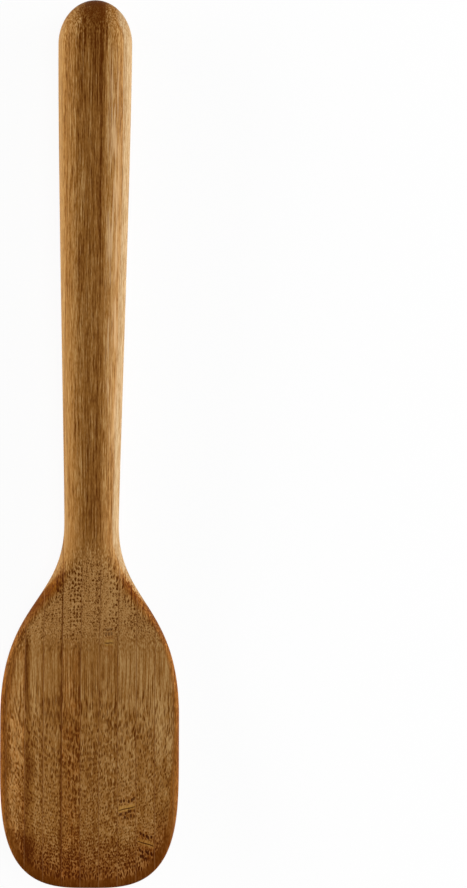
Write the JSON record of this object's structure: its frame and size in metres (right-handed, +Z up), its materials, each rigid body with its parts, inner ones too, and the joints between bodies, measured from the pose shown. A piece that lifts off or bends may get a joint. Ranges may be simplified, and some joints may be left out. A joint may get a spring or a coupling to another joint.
{
  "type": "serving spoon",
  "caption": "Long wooden serving spoon with a broad shallow blade, a narrow neck and a rounded handle, glued up from bamboo strips.",
  "frame": {"origin": "under the middle of the spoon's length and width, at the height of the table it lies on", "axes": "+X to the right seen from above, +Y from the tip of the blade to the end of the handle, +Z up out of the hollow side"},
  "size_m": [0.0628, 0.31, 0.019],
  "materials": {
    "bamboo_dark": "oiled satin",
    "bamboo_mid": "oiled satin",
    "bamboo_light": "oiled satin",
    "glue_line": "satin"
  },
  "bodies": {
    "root": {"centre_strip": "bamboo_dark", "left_glue_1": "glue_line", "left_strip_1": "bamboo_mid", "left_glue_2_blade": "glue_line", "left_glue_2_handle": "glue_line", "left_strip_2_blade": "bamboo_light", "left_strip_2_handle": "bamboo_light", "left_glue_3": "glue_line", "left_strip_3": "bamboo_mid", "left_glue_4": "glue_line", "left_strip_4": "bamboo_dark", "left_glue_5": "glue_line", "left_strip_5": "bamboo_mid", "right_glue_1": "glue_line", "right_strip_1": "bamboo_mid", "right_glue_2_blade": "glue_line", "right_glue_2_handle": "glue_line", "right_strip_2_blade": "bamboo_light", "right_strip_2_handle": "bamboo_light", "right_glue_3": "glue_line", "right_strip_3": "bamboo_mid", "right_glue_4": "glue_line", "right_strip_4": "bamboo_dark", "right_glue_5": "glue_line", "right_strip_5": "bamboo_mid"}
  },
  "joints": []
}
